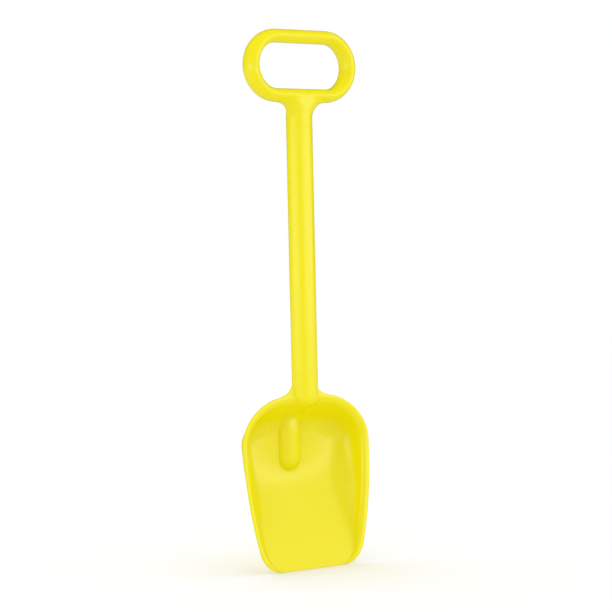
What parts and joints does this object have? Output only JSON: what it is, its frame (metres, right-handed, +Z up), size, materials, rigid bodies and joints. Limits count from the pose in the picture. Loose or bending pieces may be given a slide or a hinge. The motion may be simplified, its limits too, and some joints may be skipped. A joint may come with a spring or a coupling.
{
  "type": "sand shovel",
  "caption": "Plastic toy sand shovel with a dished, rimmed scoop blade, a straight round tube shaft and a closed loop hand grip.",
  "frame": {"origin": "middle of the cutting edge, at the level of the ground that the shovel stands on", "axes": "+Z up along the shaft, -Y the front, where the scoop is open, +X to the right seen from the front"},
  "size_m": [0.1436, 0.0434, 0.5],
  "materials": {
    "yellow_plastic": "satin moulded"
  },
  "bodies": {
    "root": {"blade": "yellow_plastic", "shaft": "yellow_plastic", "grip": "yellow_plastic"}
  },
  "joints": []
}
